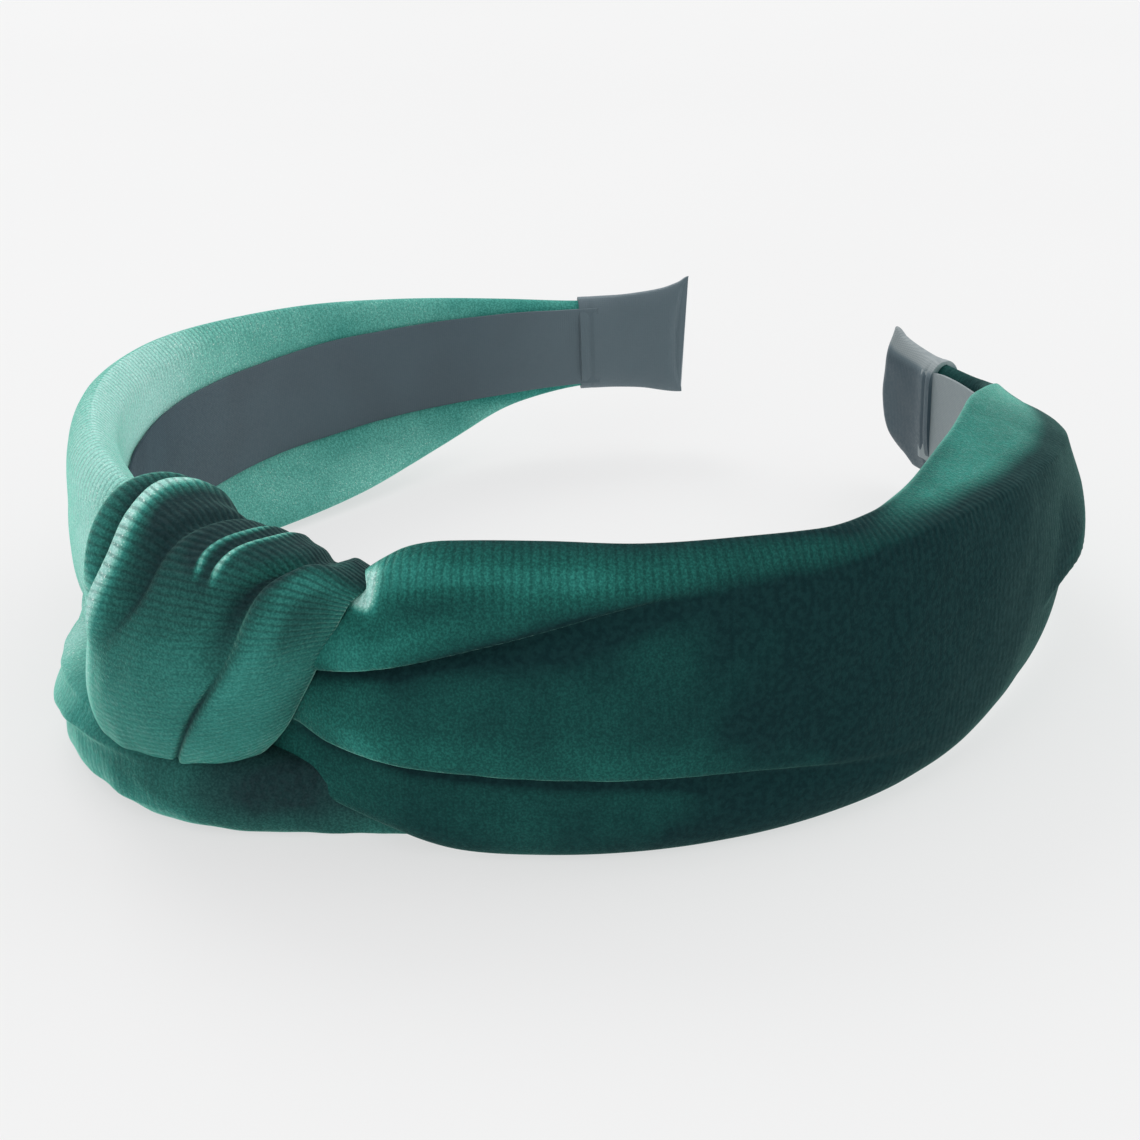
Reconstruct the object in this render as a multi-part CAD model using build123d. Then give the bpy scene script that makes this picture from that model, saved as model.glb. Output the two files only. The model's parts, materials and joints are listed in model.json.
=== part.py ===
from build123d import *
import math
import os

# Knotted velvet headband, in millimetres.
# The hoop lies flat: Z is the width of the band, the knot is at -Y, the two tips point to +Y.
# The origin is the centre of the crown arc, on the band's middle plane.
# Offsets "o" are measured from the middle of the plastic core, positive away from the head.
# Lengths "s" are measured along the core from the middle of the crown, positive to the right.
# The left arm is modelled on the right and then mirrored.

# Hoop: a crown arc, then a flatter arc down each arm. The knot sits a little off the hoop's middle,
# so the right arm is longer. Its tip is wrapped in a shorter piece of ribbon.
CROWN_RADIUS = 68.5
CROWN_HALF_ANGLE = 86.0
ARM_RADIUS = 80.0
LEFT_TIP_ANGLE = 153.5
RIGHT_TIP_ANGLE = 158.0

# Band width, from the middle plane to one edge
BAND_HALF = 19.5
NECK_HALF = 16.0
TIP_HALF = 8.5
REST_HEIGHT = 19.0

# Where the band is pinched under the knot, tapers towards the tips and gets thinner, along the hoop
PINCH_INNER = 12.0
PINCH_OUTER = 38.0
TAPER_START = 88.0
TAPER_END = 186.0
THINNING_START = 118.0
THINNING_END = 176.0

# The end of the right arm hangs a little
DROOP_START = 142.0
RIGHT_DROOP = 5.0

# Layers, from the head outwards
LINING = 0.7
LINING_HALF = 8.2
VELVET = 1.1
CORE = 1.6
GAP = 0.1
FOAM_GAP = 0.3
FOAM = 3.5
THIN_FOAM = 0.4
SEAM_HALF = 6.4
SEAM_MARGIN = 3.0
CORE_INSET = 3.5
CORE_TIP_HALF = 7.0
CORE_SHORT = 3.5

# Flexing zones: where each arm bends away from the crown, and the wedge that lets it close
FLEX_S = 45.0
FLEX_PIVOT = 6.0
FLEX_WEDGE = 2.0
CUT_PAST = 3.0

# How many sections shape the crown, an arm and the knot's lower loop, and the closest that two may be
CROWN_SECTIONS = 19
ARM_SECTIONS = 26
LOOP_SECTIONS = 7
CLOSEST = 1.0

# Ribbon wraps on the tips
LEFT_WRAP_LENGTH = 20.0
RIGHT_WRAP_LENGTH = 14.0
WRAP = 0.5
HEM = 4.0
WRAP_EDGE = 0.8
MOUTH_HALF = 9.3
WRAP_NECK_HALF = 9.2
WRAP_EAR_HALF = 10.4
WRAP_SLOPE = 3.0
EAR_LENGTH = 5.0

# Knot
KNOT_MIDDLE = 1.0
KNOT_HALF_LENGTH = 19.0
KNOT_TOP = 26.0
KNOT_BOTTOM = 9.6
KNOT_LEAN = 6.0
KNOT_LOW_LEAN = 2.0
KNOT_SHOULDER = 7.5
KNOT_BULGE = 9.5
KNOT_TUCK = 2.6
KNOT_HEM = 1.0
KNOT_SHARES = (-0.97, -0.8, -0.45, 0.0, 0.45, 0.8, 0.97)
LOOP_START = -38.0
LOOP_END = 20.0
LOOP_DROP = 15.6
LOOP_HALF_HEIGHT = 4.4
LOOP_HALF_DEPTH = 6.5
LOOP_SWELL_START = 0.2
LOOP_SWELL = 0.7
LOOP_NARROWING = 0.6

CROWN_LENGTH = CROWN_RADIUS * math.radians(CROWN_HALF_ANGLE)
LEFT_REACH = CROWN_LENGTH + ARM_RADIUS * math.radians(LEFT_TIP_ANGLE - CROWN_HALF_ANGLE)
RIGHT_REACH = CROWN_LENGTH + ARM_RADIUS * math.radians(RIGHT_TIP_ANGLE - CROWN_HALF_ANGLE)


def wrap_start(reach):
    """Where the ribbon wrap begins on the arm that has this reach."""
    return reach - (RIGHT_WRAP_LENGTH if reach == RIGHT_REACH else LEFT_WRAP_LENGTH)


def velvet_end(reach):
    return wrap_start(reach) + HEM


def foam_end(reach):
    return wrap_start(reach) - HEM


# Offsets of the layers
CORE_FACE = CORE / 2
VELVET_IN = CORE_FACE + GAP
VELVET_OUT = VELVET_IN + VELVET
LINING_IN = VELVET_OUT + GAP / 2
LINING_OUT = LINING_IN + LINING


def smooth(t):
    """0 before t = 0, 1 after t = 1, and a smooth step between them."""
    t = min(1.0, max(0.0, t))
    return t * t * (3 - 2 * t)


def heading(s):
    """Direction of travel along the hoop at s, in degrees from +X."""
    if abs(s) <= CROWN_LENGTH:
        return math.degrees(s / CROWN_RADIUS)
    beyond = math.degrees((abs(s) - CROWN_LENGTH) / ARM_RADIUS)
    return math.copysign(CROWN_HALF_ANGLE + beyond, s)


def hoop_point(s):
    """Point of the core's middle surface at s, on the right-hand side for s > 0."""
    a = math.radians(heading(s))
    if abs(s) <= CROWN_LENGTH:
        return CROWN_RADIUS * math.sin(a), -CROWN_RADIUS * math.cos(a)
    b = math.radians(CROWN_HALF_ANGLE)
    shift = CROWN_RADIUS - ARM_RADIUS
    x = math.copysign(1, s) * shift * math.sin(b) + ARM_RADIUS * math.sin(a)
    return x, -shift * math.cos(b) - ARM_RADIUS * math.cos(a)


def station(s, tilt=0.0):
    """Section plane at s: local X points away from the head, local Y is up.
    Tilt turns the plane about the flexing pivot, which opens a wedge on the head side."""
    x, y = hoop_point(s)
    a = math.radians(heading(s))
    t = math.radians(heading(s) + tilt)
    pivot = Vector(x + FLEX_PIVOT * math.sin(a), y - FLEX_PIVOT * math.cos(a), 0)
    out = Vector(math.sin(t), -math.cos(t), 0)
    return Plane(origin=pivot - out * FLEX_PIVOT, x_dir=out, z_dir=(-math.cos(t), -math.sin(t), 0))


def band_half(s):
    """Half the width of the velvet band at s: pinched under the knot, tapered to the tips."""
    taper = smooth((abs(s) - TAPER_START) / (TAPER_END - TAPER_START))
    pinch = 1 - smooth((abs(s) - PINCH_INNER) / (PINCH_OUTER - PINCH_INNER))
    return BAND_HALF - (BAND_HALF - TIP_HALF) * taper - (BAND_HALF - NECK_HALF) * pinch


def pad_height(s):
    """Thickness of the foam at s, thinning out towards the tips."""
    thinning = smooth((abs(s) - THINNING_START) / (THINNING_END - THINNING_START))
    return FOAM - (FOAM - THIN_FOAM) * thinning


def pillow(head_side, shoulder, crown, half, edge):
    """Cross-section with a flat head side, round edges and a crowned outer side."""
    low = half - edge
    middle = (shoulder - head_side) / 2
    outline = [
        Line((-head_side, -low), (-head_side, low)),
        ThreePointArc((-head_side, low), (middle, half), (shoulder, low)),
        ThreePointArc((shoulder, low), (crown, 0), (shoulder, -low)),
        ThreePointArc((shoulder, -low), (middle, -half), (-head_side, -low)),
    ]
    return make_face(Curve() + outline)


def velvet_section(s, clearance=0.0):
    """Outline of the velvet at s; a clearance around it gives room to what lies on the velvet."""
    side = VELVET_OUT + clearance
    return pillow(side, side, side + pad_height(s) + FOAM_GAP, band_half(s) + clearance, side)


def velvet_void(s):
    return pillow(VELVET_IN, VELVET_IN, VELVET_IN + pad_height(s) + FOAM_GAP, band_half(s) - VELVET, VELVET_IN)


def seam_window(s):
    """Opening between the velvet's turned edges on the head side."""
    return Pos(-VELVET_OUT, 0) * Rectangle(2 * VELVET, 2 * min(SEAM_HALF, band_half(s) - SEAM_MARGIN))


def core_section(s, clearance=0.0):
    half = max(CORE_TIP_HALF, band_half(s) - CORE_INSET)
    return Rotation(0, 0, 90) * SlotOverall(2 * (half + clearance), CORE + 2 * clearance)


def core_room(s):
    return core_section(s, GAP)


def foam_section(s):
    back = VELVET_IN
    half = band_half(s) - VELVET_OUT - FOAM_GAP
    outline = [
        Line((back, -half), (back, half)),
        ThreePointArc((back, half), (back + pad_height(s), 0), (back, -half)),
    ]
    return make_face(Curve() + outline)


def lining_section(s):
    return Pos(-(LINING_IN + LINING_OUT) / 2, 0) * Rectangle(LINING, 2 * LINING_HALF)


def steps(start, end, count):
    return [start + (end - start) * i / (count - 1) for i in range(count)]


def run(section, places, first_tilt=0.0, last_tilt=0.0):
    """Solid through one section at each place along the hoop, with straight sides between them."""
    tilts = [first_tilt] + [0.0] * (len(places) - 2) + [last_tilt]
    return loft([station(s, t) * section(s) for s, t in zip(places, tilts)], ruled=True)


def rest_cut(part):
    """Flattens the lower edge where the band rests on a table."""
    size = 4 * CROWN_RADIUS
    return part & Pos(0, 0, size / 2 - REST_HEIGHT) * Box(size, size, size)


# Parts between the two flexing zones
CROWN_PLACES = steps(-FLEX_S, FLEX_S, CROWN_SECTIONS)


def crown_run(section):
    return run(section, CROWN_PLACES, -FLEX_WEDGE, FLEX_WEDGE)


def crown_cut(section):
    """Like crown_run, but reaching past both ends, to hollow out a crown part."""
    return run(section, [-FLEX_S - CUT_PAST] + CROWN_PLACES + [FLEX_S + CUT_PAST])


def velvet_neck():
    """Velvet gathered under the knot."""
    return rest_cut(crown_run(velvet_section) - crown_cut(velvet_void) - crown_cut(seam_window))


def neck_room():
    """Space that the gathered velvet takes up under the knot."""
    return crown_cut(lambda s: velvet_section(s, GAP))


# Parts of one arm, from its flexing zone out to its reach, the tip's place along the hoop
def arm_places(reach, end):
    """Every layer shares the same section places, so that the layers stay parallel."""
    shared = steps(FLEX_S, foam_end(reach), ARM_SECTIONS) + [wrap_start(reach), velvet_end(reach), reach - EAR_LENGTH]
    return [s for s in shared if s < end - CLOSEST] + [end]


def droop(s, reach):
    """How far the arm with this reach hangs below the band's middle plane at s."""
    hang = smooth((s - DROOP_START) / (foam_end(RIGHT_REACH) - DROOP_START))
    return RIGHT_DROOP * hang if reach == RIGHT_REACH else 0.0


def lowered(section, reach):
    return lambda s: Pos(0, -droop(s, reach)) * section(s)


def arm_run(section, reach, end):
    return run(lowered(section, reach), arm_places(reach, end), -FLEX_WEDGE)


def arm_cut(section, reach, end):
    """Like arm_run, but reaching past both ends, to hollow out an arm part."""
    return run(lowered(section, reach), [FLEX_S - CUT_PAST] + arm_places(reach, end) + [end + CUT_PAST])


def velvet_sleeve(reach):
    end = velvet_end(reach)
    shell = arm_run(velvet_section, reach, end) - arm_cut(velvet_void, reach, end)
    return rest_cut(shell - arm_cut(seam_window, reach, end))


def wrap_body(rows, reach):
    """Solid through (s, head side, outer side, crown, half width) rows, with straight sides between them."""
    faces = []
    for s, *sizes in rows:
        faces.append(station(s) * Pos(0, -droop(s, reach)) * pillow(*sizes, WRAP_EDGE))
    return loft(faces, ruled=True)


def tip_wrap(reach):
    """Ribbon folded over the tip: it covers the ends of the velvet and the lining."""
    start = wrap_start(reach)
    head_side = LINING_OUT + GAP
    outer = VELVET_OUT + GAP
    crown = outer + pad_height(start) + FOAM_GAP + GAP
    hem_end = velvet_end(reach) + GAP
    slim = VELVET_IN + WRAP
    outside = [
        (start, head_side + WRAP, outer + WRAP, crown + WRAP, MOUTH_HALF + WRAP),
        (hem_end + WRAP, head_side + WRAP, outer + WRAP, crown + WRAP, MOUTH_HALF + WRAP),
        (hem_end + WRAP_SLOPE, slim, slim, slim + WRAP, WRAP_NECK_HALF),
        (reach - EAR_LENGTH, slim, slim, slim + WRAP, WRAP_NECK_HALF),
        (reach, slim, slim, slim + WRAP, WRAP_EAR_HALF),
    ]
    mouth = [(s, head_side, outer, crown, MOUTH_HALF) for s in (start - CUT_PAST, hem_end)]
    shell = wrap_body(outside, reach) - wrap_body(mouth, reach)
    return shell - arm_cut(core_room, reach, reach - CORE_SHORT)


# Knot
def knot_wrap():
    """Velvet band over the front of the knot, leaning to one side and tucked over the hoop's top edge."""
    faces = []
    for share in KNOT_SHARES:
        fullness = math.sqrt(1 - share * share)
        low = KNOT_LOW_LEAN * share - KNOT_BOTTOM * math.sqrt(fullness)
        high = KNOT_LEAN * share + NECK_HALF + (KNOT_TOP - NECK_HALF) * fullness
        front = KNOT_SHOULDER + KNOT_BULGE * fullness
        outline = [
            Line((-KNOT_TUCK, high), (-KNOT_TUCK, low)),
            Line((-KNOT_TUCK, low), (KNOT_SHOULDER, low)),
            ThreePointArc((KNOT_SHOULDER, low), (front, KNOT_SHOULDER), (-KNOT_TUCK, high)),
        ]
        faces.append(station(KNOT_MIDDLE + KNOT_HALF_LENGTH * share) * make_face(Curve() + outline))
    depth = 4 * BAND_HALF
    behind_neck = Pos(0, 0, NECK_HALF - KNOT_HEM - depth / 2) * Cylinder(CROWN_RADIUS + VELVET_IN, depth)
    return loft(faces) - behind_neck - neck_room()


def knot_lower_loop():
    """Velvet passing behind and below the wrap, from the left arm down to the right arm's lower edge."""
    faces = []
    for s in steps(LOOP_START, LOOP_END, LOOP_SECTIONS):
        along = (s - LOOP_START) / (LOOP_END - LOOP_START)
        fullness = math.sin(math.pi * (LOOP_SWELL_START + LOOP_SWELL * along))
        half_depth = LOOP_HALF_DEPTH * fullness * (1 - LOOP_NARROWING * along)
        oval = Ellipse(half_depth, LOOP_HALF_HEIGHT * fullness)
        faces.append(station(s) * Pos(VELVET_OUT + half_depth, -LOOP_DROP) * oval)
    return rest_cut(loft(faces) - neck_room())


nodes = {
    "core_crown": crown_run(core_section),
    "foam_crown": crown_run(foam_section),
    "lining_crown": crown_run(lining_section),
    "velvet_neck": velvet_neck(),
    "knot_wrap": knot_wrap(),
    "knot_lower_loop": knot_lower_loop(),
}
for side, reach in (("right", RIGHT_REACH), ("left", LEFT_REACH)):
    arm = {
        "core": arm_run(core_section, reach, reach - CORE_SHORT),
        "foam": arm_run(foam_section, reach, foam_end(reach)),
        "velvet_sleeve": velvet_sleeve(reach),
        "lining": arm_run(lining_section, reach, velvet_end(reach)),
        "tip_wrap": tip_wrap(reach),
    }
    for name, part in arm.items():
        nodes[f"{name}_{side}"] = part if side == "right" else mirror(part, about=Plane.YZ)

os.makedirs("parts", exist_ok=True)
for name, shape in nodes.items():
    export_step(shape, f"parts/{name}.step")
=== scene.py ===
import json
import math

import bmesh
import bpy
import numpy as np
from mathutils import Matrix, Vector


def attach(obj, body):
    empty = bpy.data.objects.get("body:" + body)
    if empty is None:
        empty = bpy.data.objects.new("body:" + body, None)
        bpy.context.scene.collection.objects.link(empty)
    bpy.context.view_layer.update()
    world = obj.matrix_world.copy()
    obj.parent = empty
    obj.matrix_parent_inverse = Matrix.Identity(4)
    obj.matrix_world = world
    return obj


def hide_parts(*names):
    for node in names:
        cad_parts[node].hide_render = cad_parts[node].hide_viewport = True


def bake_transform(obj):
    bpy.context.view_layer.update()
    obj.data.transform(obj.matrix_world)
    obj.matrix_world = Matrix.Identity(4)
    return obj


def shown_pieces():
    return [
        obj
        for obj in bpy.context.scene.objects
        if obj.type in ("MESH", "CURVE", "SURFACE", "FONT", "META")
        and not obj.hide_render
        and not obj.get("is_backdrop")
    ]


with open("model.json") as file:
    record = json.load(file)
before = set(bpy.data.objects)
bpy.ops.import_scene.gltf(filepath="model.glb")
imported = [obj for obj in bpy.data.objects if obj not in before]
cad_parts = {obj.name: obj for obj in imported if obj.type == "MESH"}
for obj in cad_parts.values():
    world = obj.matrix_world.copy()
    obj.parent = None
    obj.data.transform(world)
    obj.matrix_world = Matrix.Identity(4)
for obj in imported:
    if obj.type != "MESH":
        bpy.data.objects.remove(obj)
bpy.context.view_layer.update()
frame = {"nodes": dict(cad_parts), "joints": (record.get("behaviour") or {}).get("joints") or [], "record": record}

# Knotted velvet headband. Shapes are worked out in millimetres and turned into metres when a mesh is made.
# The hoop lies flat. A place on it is (s, o, z): s along the core from the middle of the crown, positive to
# the right; o away from the head, from the middle of the core; z up from the middle of the band's width.
MM = 0.001


# ---------------------------------------------------------------- the hoop, read from the frame
def node_points(node):
    return np.array([v.co for v in frame["nodes"][node].data.vertices]) / MM


FIT_ROUNDS = 40


def fit_circle(points):
    """Centre of the circle that lies closest to the points, seen from above."""
    centre, radius = np.zeros(2), CROWN_RADIUS
    for _ in range(FIT_ROUNDS):
        across = points[:, :2] - centre
        distance = np.linalg.norm(across, axis=1)
        slopes = np.c_[across / distance[:, None], np.ones(len(points))]
        change, *_ = np.linalg.lstsq(slopes, distance - radius, rcond=None)
        centre, radius = centre + change[:2], radius + change[2]
    return centre


# The hoop is an arc round the crown, centred on the frame's upright axis, and a flatter arc along each arm.
core = node_points("core_crown")
core_radii = np.hypot(core[:, 0], core[:, 1])
CROWN_RADIUS = (core_radii.min() + core_radii.max()) / 2
right_core = node_points("core_right")
ARM_X, ARM_Y = fit_circle(right_core[right_core[:, 1] > CROWN_RADIUS / 4])
ARM_RADIUS = CROWN_RADIUS + math.hypot(ARM_X, ARM_Y)
CROWN_ANGLE = math.atan2(-ARM_X, ARM_Y)
CROWN_LENGTH = CROWN_RADIUS * CROWN_ANGLE


def place(s, o, z):
    """Points in the shared frame, in mm, for arrays of hoop places."""
    s, o, z = np.broadcast_arrays(np.asarray(s, float), o, z)
    distance = np.abs(s)
    on_arm = distance > CROWN_LENGTH
    angle = np.where(on_arm, CROWN_ANGLE + (distance - CROWN_LENGTH) / ARM_RADIUS, distance / CROWN_RADIUS)
    radius = np.where(on_arm, ARM_RADIUS, CROWN_RADIUS) + o
    x = np.where(on_arm, ARM_X, 0) + radius * np.sin(angle)
    y = np.where(on_arm, ARM_Y, 0) - radius * np.cos(angle)
    return np.stack([np.where(s < 0, -x, x), y, z], -1)


def along(points):
    """Distance from the middle of the crown to each point, along the hoop."""
    x, y = np.abs(points[:, 0]), points[:, 1]
    angle = np.arctan2(x - ARM_X, ARM_Y - y)
    return np.where(angle > CROWN_ANGLE, CROWN_LENGTH + (angle - CROWN_ANGLE) * ARM_RADIUS,
                    CROWN_RADIUS * np.arctan2(x, -y))


def outset(node):
    """Lowest and highest offset from the core's middle of a node on the crown."""
    points = node_points(node)
    offsets = np.hypot(points[:, 0], points[:, 1]) - CROWN_RADIUS
    return offsets.min(), offsets.max()


SIDES = {"right": 1, "left": -1}
# Distances along the hoop of each tip, the mouth of its wrap, the velvet's hem and the flexing zones.
TIP = {side: along(node_points("tip_wrap_" + side)).max() for side in SIDES}
MOUTH = {side: along(node_points("tip_wrap_" + side)).min() for side in SIDES}
HEM = {side: along(node_points("velvet_sleeve_" + side)).max() for side in SIDES}
FLEX = along(np.array([joint["pos_m"] for joint in frame["joints"]]) / MM).mean()
FOAM_CLEARANCE = 0.05
VELVET_THICKNESS = 1.1
# Offsets of the lining's two faces, of the velvet's head side and of the foam's inner face.
LINING_INNER, LINING_OUTER = outset("lining_crown")
HEAD_SIDE = outset("velvet_neck")[0]
FOAM_BASE = outset("foam_crown")[0] + FOAM_CLEARANCE


# ---------------------------------------------------------------- small curve tools
def step(x, low, high):
    """0 below low, 1 above high, smooth between."""
    t = np.clip((np.asarray(x, float) - low) / (high - low), 0, 1)
    return t * t * (3 - 2 * t)


def hump(x, start, full, fade, end):
    """Rises from start to full, falls from fade to end."""
    return step(x, start, full) * (1 - step(x, fade, end))


def through(x, points):
    """Smooth curve through a few (x, y) points, level beyond both ends."""
    px = np.array([p[0] for p in points], float)
    py = np.array([p[1] for p in points], float)
    slope = np.zeros_like(py)
    slope[1:-1] = (py[2:] - py[:-2]) / (px[2:] - px[:-2])
    x = np.clip(np.asarray(x, float), px[0], px[-1])
    i = np.clip(np.searchsorted(px, x, side="right") - 1, 0, len(px) - 2)
    width = px[i + 1] - px[i]
    t = (x - px[i]) / width
    rise = py[i + 1] - py[i]
    first, last = slope[i] * width, slope[i + 1] * width
    return py[i] + t * first + t * t * (3 * rise - 2 * first - last) + t ** 3 * (first + last - 2 * rise)


# How many waves make a ripple, and the height that their sum seldom passes.
RIPPLE_WAVES = 7
RIPPLE_PEAK = 4


def ripple(x, y, seed, scale):
    """Soft random relief between about -1 and 1: a few crossed waves."""
    random = np.random.default_rng(seed)
    total = np.zeros(np.broadcast(x, y).shape)
    for _ in range(RIPPLE_WAVES):
        turn = random.uniform(0, math.pi)
        pitch = scale * random.uniform(0.6, 1.8)
        phase = random.uniform(0, 2 * math.pi)
        total += np.sin(2 * math.pi * (x * math.cos(turn) + y * math.sin(turn)) / pitch + phase)
    return total / RIPPLE_PEAK


# ---------------------------------------------------------------- meshes
# Spacing that a ring's points are given when the surface is laid out flat.
RING_SPACING = 0.3
# Keeps a direction from being divided by nothing where points coincide.
TINY = 1e-9


def lay_out(mesh, lengthwise):
    """Lays the surface out flat, in mm: first coordinate along the nap, second round the ring."""
    ring_size = lengthwise.shape[1]
    corners = np.empty(len(mesh.loops), np.int32)
    mesh.loops.foreach_get("vertex_index", corners)
    flat = np.stack([lengthwise.ravel()[corners], (corners % ring_size) * RING_SPACING], -1)
    mesh.uv_layers.new(name="nap").data.foreach_set("uv", flat.astype(np.float32).ravel())


def face_outward(mesh):
    """Turns the faces of a closed mesh to point out of it."""
    turned = bmesh.new()
    turned.from_mesh(mesh)
    bmesh.ops.recalc_face_normals(turned, faces=turned.faces)
    turned.to_mesh(mesh)
    turned.free()


def grid_piece(name, points, **attributes):
    """Mesh of a tube: rows of points run along it, and each row is a closed ring. Both ends are capped."""
    rows, ring_size = points.shape[:2]
    index = np.arange(rows * ring_size).reshape(rows, ring_size)
    following = np.roll(index, -1, axis=1)
    quads = np.stack([index[:-1], following[:-1], following[1:], index[1:]], -1).reshape(-1, 4)
    faces = quads.tolist() + [index[0][::-1].tolist(), index[-1].tolist()]
    mesh = bpy.data.meshes.new(name)
    mesh.from_pydata((points.reshape(-1, 3) * MM).tolist(), [], faces)
    for key, values in attributes.items():
        layer = mesh.attributes.new(key, "FLOAT", "POINT")
        spread = np.broadcast_to(values, (rows, ring_size))
        layer.data.foreach_set("value", spread.astype(np.float32).ravel())
    lay_out(mesh, np.broadcast_to(attributes["rib"], (rows, ring_size)))
    mesh.polygons.foreach_set("use_smooth", [True] * len(quads) + [False, False])
    mesh.update()
    face_outward(mesh)
    piece = bpy.data.objects.new(name, mesh)
    bpy.context.scene.collection.objects.link(piece)
    return piece


def swell(points, out, carry):
    """Moves the points of closed rings out along their surface, and carries them round the ring."""
    lengthwise = np.gradient(points, axis=0)
    crosswise = np.roll(points, -1, axis=1) - np.roll(points, 1, axis=1)
    crosswise /= np.linalg.norm(crosswise, axis=2, keepdims=True) + TINY
    normal = np.cross(lengthwise, crosswise)
    normal /= np.linalg.norm(normal, axis=2, keepdims=True) + TINY
    return points + out[:, :, None] * normal + carry[:, :, None] * crosswise


# ---------------------------------------------------------------- velvet arms
# Points of each row across the front, across its inside, and from a seam round a long edge.
FRONT_SAMPLES = 170
INSIDE_SAMPLES = 60
EDGE_SAMPLES = 26
ROW_SPACING = 1.0
# The seams lie under the lining, this far above and below the middle of the core's width.
SEAM_HALF = 6.4
# Rows of a relief: how far the surface stands out, how far it is carried sideways, and how much light or shade is
# painted on it.
OUT, CARRY, LIGHT = 0, 1, 2


def ridge(distance, width):
    """1 on a line, falling to nothing within two or three widths of it."""
    return np.exp(-(distance / width) ** 2)


def fold(distance, length, height):
    """Relief of a pleat across its crease: a soft lobe on the positive side that rolls over the crease. It gets
    a painted highlight along its rim and painted shade in the crease."""
    above = np.clip(distance, 0, None)
    lobe = step(distance, -0.7, 1.1) * np.exp(-(above / length) ** 1.6)
    hollow = 0.28 * ridge(distance + 1.2, 1.5)
    roll = 0.55 * ridge(distance - 0.5, 1.0)
    rim = 0.11 * ridge(distance - 1.6, 0.32 * length) - 0.22 * ridge(distance + 1.4, 1.5)
    return np.array([height * (lobe - hollow), -height * roll, height * rim])


def right_relief(s, z):
    """Folds of the right arm: pleats fan out from the knot and fade along the band."""
    upper = through(s, [(6, 4.6), (14, 6.2), (30, 10.9), (47, 15.2), (62, 16.4)])
    middle = through(s, [(4, -3.6), (20, -4.8), (45, -6.6), (62, -8.3), (82, -12.0), (104, -14.5)])
    tuck = through(s, [(104, -7.0), (122, -2.8), (150, 2.2)])
    upper_height = through(s, [(5, 0.3), (13, 2.2), (30, 2.3), (47, 1.2), (64, 0)])
    middle_height = through(s, [(5, 0.3), (13, 2.2), (30, 2.2), (60, 1.2), (80, 0.4), (94, 0)])
    relief = fold(z - upper, 8.5, upper_height)
    relief += fold(z - middle, 9.5, middle_height)
    relief += fold(z - tuck, 7.0, 2.5 * hump(s, 112, 130, 140, 154))
    dimple = through(s, [(18, 11.5), (30, 15.5), (40, 17.5)])
    relief[OUT] -= 0.6 * hump(s, 17, 22, 28, 42) * ridge(z - dimple, 1.8)
    relief[OUT] -= 1.9 * (1 - step(s, 8, 24)) + 0.3 * hump(s, 20, 34, 60, 100)
    relief[OUT] -= 0.5 * hump(s, 100, 124, 146, 166) * step(z, 0, 9)
    # The pile is painted light along the top edge, and lightest where the band comes out from under the knot;
    # a little below the upper crease it gets painted shade.
    relief[LIGHT] += 0.62 * step(z, 14.5, 20.0) * hump(s, 10, 20, 100, 136)
    relief[LIGHT] += 2.3 * hump(s, 15.4, 17.4, 18.6, 20.8) * step(z, 13.0, 15.5)
    relief[LIGHT] -= 0.14 * ridge(z - upper + 3.2, 2.4) * hump(s, 14, 26, 44, 62)
    return relief


def left_relief(s, z):
    """Folds of the left arm: it is puffed low down, where its velvet runs on below the knot."""
    relief = fold(through(s, [(16, -1.0), (45, -6.6), (70, -9.0)]) - z, 9.0, 1.2 * hump(s, 16, 28, 50, 76))
    relief[CARRY] *= -1
    relief[OUT] += 0.5 * hump(s, 20, 34, 46, 80) - 1.4 * (1 - step(s, 8, 20))
    relief[OUT] -= 1.1 * hump(s, 26, 38, 60, 80) * ridge(z + 8, 5)
    for near, far, height in ((-6.0, -14.0, 0.9), (-10.0, -18.0, 0.8)):
        crease = through(s, [(20, near), (52, far)])
        relief += fold(z - crease, 3.0, height * hump(s, 14, 24, 34, 52))
    return relief


def right_edges(s):
    """Height of the right arm's top edge, and depth of its bottom edge, from the middle of the band."""
    top = through(s, [(0, 15.4), (13, 15.4), (16, 16.2), (19, 18.4), (23, 20.8), (28, 22.0), (39, 22.2),
                      (50, 21.3), (63, 20.6), (78, 19.3), (95, 18.6), (104, 18.6), (118, 18.5),
                      (130, 18.3), (140, 17.5), (150, 15.4), (158, 13.0), (165, 10.3), (170, 8.4),
                      (176, 6.6), (182, 5.7), (192, 5.3)])
    bottom = through(s, [(0, 14.0), (5, 14.0), (9, 14.2), (13.8, 15.5), (19, 17.2), (27, 19.5), (38, 20.0),
                         (66, 20.0), (88, 19.4), (118, 17.4), (147, 14.4), (166, 13.0), (177, 13.6),
                         (192, 14.2)])
    return top, bottom


def left_edges(s):
    """Height of the left arm's top edge, and depth of its bottom edge, from the middle of the band."""
    top = through(s, [(0, 15.4), (14, 15.6), (24, 18.4), (34, 19.6), (63, 20.6), (82, 19.7), (100, 18.2),
                      (123, 15.7), (143, 12.8), (163, 9.9), (177, 8.3), (192, 8.1)])
    bottom = through(s, [(0, 15.4), (14, 15.6), (26, 19.6), (60, 19.8), (88, 19.9), (112, 20.0), (130, 18.8),
                         (147, 15.6), (163, 11.0), (177, 8.4), (192, 8.1)])
    return top, bottom


def crown_height(s, side):
    """Offset of the velvet's front, where it is fullest."""
    full = through(s, [(0, 5.6), (20, 5.8), (45, 6.2), (100, 5.9), (130, 5.0), (155, 3.2), (172, 2.1),
                       (192, 1.9)])
    if side == "right":
        full = full + 0.3 * hump(s, 92, 130, 146, 172)
    return full


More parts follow.
